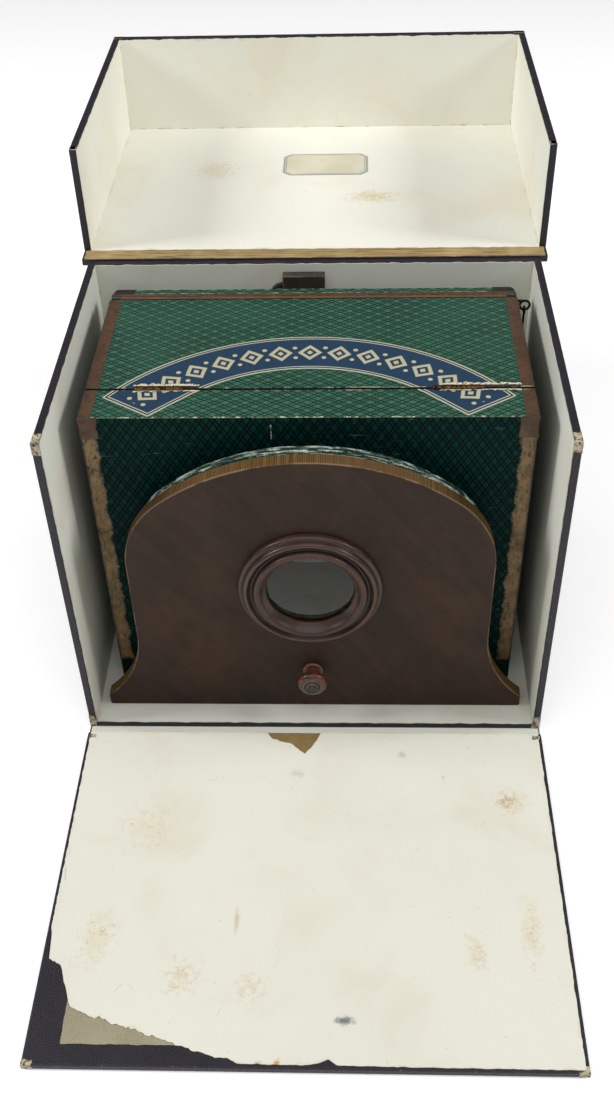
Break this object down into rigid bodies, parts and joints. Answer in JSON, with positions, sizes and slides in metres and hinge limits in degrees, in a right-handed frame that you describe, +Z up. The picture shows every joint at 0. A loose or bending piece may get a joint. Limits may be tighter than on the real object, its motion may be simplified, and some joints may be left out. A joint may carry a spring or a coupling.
{
  "type": "polyorama panoptique",
  "caption": "Peep-show viewer with bellows lens front, hinged top flap and rear door, in its fall-front case with a deep hinged lid.",
  "frame": {"origin": "centre of the underside of the case floor, on the surface that the case stands on", "axes": "+Z up; -Y towards the lens side and the dropped front; +X to the right as seen from the lens side"},
  "size_m": [0.3098, 0.6534, 0.3092],
  "materials": {
    "case_board": "black-blue grained paper over pasteboard, worn pale at the corners",
    "cream_lining": "aged cream paper with foxing",
    "bare_board": "bare golden pasteboard",
    "hinge_cloth": "black book cloth",
    "label_paper": "aged paper with a plain printed border",
    "green_paper": "wood covered in green printed paper with a dark lozenge crosshatch",
    "plain_wood": "plain sawn wood",
    "mahogany": "varnished dark reddish-brown mahogany",
    "bellows_cloth": "green papered cloth, worn white along the pleats",
    "optical_glass": "clear crown glass",
    "silvered_glass": "silvered glass",
    "brass": "dull brass",
    "iron_wire": "blackened iron wire",
    "black_leather": "black leather",
    "view_paper": "printed paper, a plain landscape"
  },
  "bodies": {
    "case": {"case_floor": "case_board", "case_left_wall": "case_board", "case_right_wall": "case_board", "case_back_wall": "case_board", "case_lining": "cream_lining", "front_hinge_cloth": "hinge_cloth", "lid_hinge_cloth": "hinge_cloth"},
    "drop_front": {"drop_front_board": "case_board", "drop_front_lining": "cream_lining"},
    "lid": {"lid_panel": "bare_board", "lid_front_lip": "case_board", "lid_left_wall": "case_board", "lid_right_wall": "case_board", "lid_lining": "cream_lining", "lid_label": "label_paper"},
    "viewer": {"box_bottom": "plain_wood", "box_left_side": "green_paper", "box_right_side": "green_paper", "box_front_panel": "green_paper", "box_top_rail": "green_paper", "rear_frame": "green_paper", "rear_sill": "green_paper", "view_guides": "plain_wood", "tongue_runners": "plain_wood", "bellows": "bellows_cloth", "flap_hinge_fixed_leaves": "brass", "flap_hinge_pins": "iron_wire", "door_hinge_fixed_leaves": "brass", "door_hinge_pins": "iron_wire", "hook_screw_eye": "iron_wire"},
    "top_flap": {"top_flap_board": "green_paper", "flap_mirror": "silvered_glass", "flap_hinge_moving_leaves": "brass"},
    "rear_door": {"rear_door_board": "green_paper", "door_pull_block": "mahogany", "door_leather_pull": "black_leather", "door_hinge_moving_leaves": "brass", "door_catch_pin": "iron_wire"},
    "lens_front": {"front_board": "mahogany", "focus_tongue": "plain_wood", "lens_ring": "mahogany", "lens": "optical_glass", "lens_retainer": "brass", "focus_knob": "mahogany"},
    "stay_hook": {"stay_hook": "iron_wire"},
    "view": {"view_frame": "plain_wood", "view_sheet": "view_paper"}
  },
  "joints": [
    {"name": "drop_front_hinge", "type": "hinge", "parent": "case", "child": "drop_front", "pos_m": [0, -0.1086, 0], "axis": [1, 0, 0], "range_deg": [-90, 0]},
    {"name": "lid_hinge", "type": "hinge", "parent": "case", "child": "lid", "pos_m": [0, 0.1015, 0.2382], "axis": [-1, 0, 0], "range_deg": [-180, 0]},
    {"name": "viewer_slide", "type": "slide", "parent": "case", "child": "viewer", "axis": [0, -1, 0], "range_m": [0, 0.3]},
    {"name": "top_flap_hinge", "type": "hinge", "parent": "viewer", "child": "top_flap", "pos_m": [0, -0.0328, 0.2258], "axis": [1, 0, 0], "range_deg": [0, 105]},
    {"name": "rear_door_hinge", "type": "hinge", "parent": "viewer", "child": "rear_door", "pos_m": [0, 0.0853, 0.01995], "axis": [-1, 0, 0], "range_deg": [0, 85]},
    {"name": "focus_slide", "type": "slide", "parent": "viewer", "child": "lens_front", "axis": [0, -1, 0], "range_m": [0, 0.06], "deforming": ["bellows"]},
    {"name": "stay_hook_swing", "type": "hinge", "parent": "viewer", "child": "stay_hook", "pos_m": [0.1373, 0.06645, 0.219], "axis": [1, 0, 0], "range_deg": [-60, 70]},
    {"name": "view_lift", "type": "slide", "parent": "viewer", "child": "view", "axis": [0, 0, 1], "range_m": [0, 0.2]}
  ],
  "couplings": [
    {"joint": "rear_door_hinge", "follows": "viewer_slide", "rad_per_m": 4.94}
  ]
}
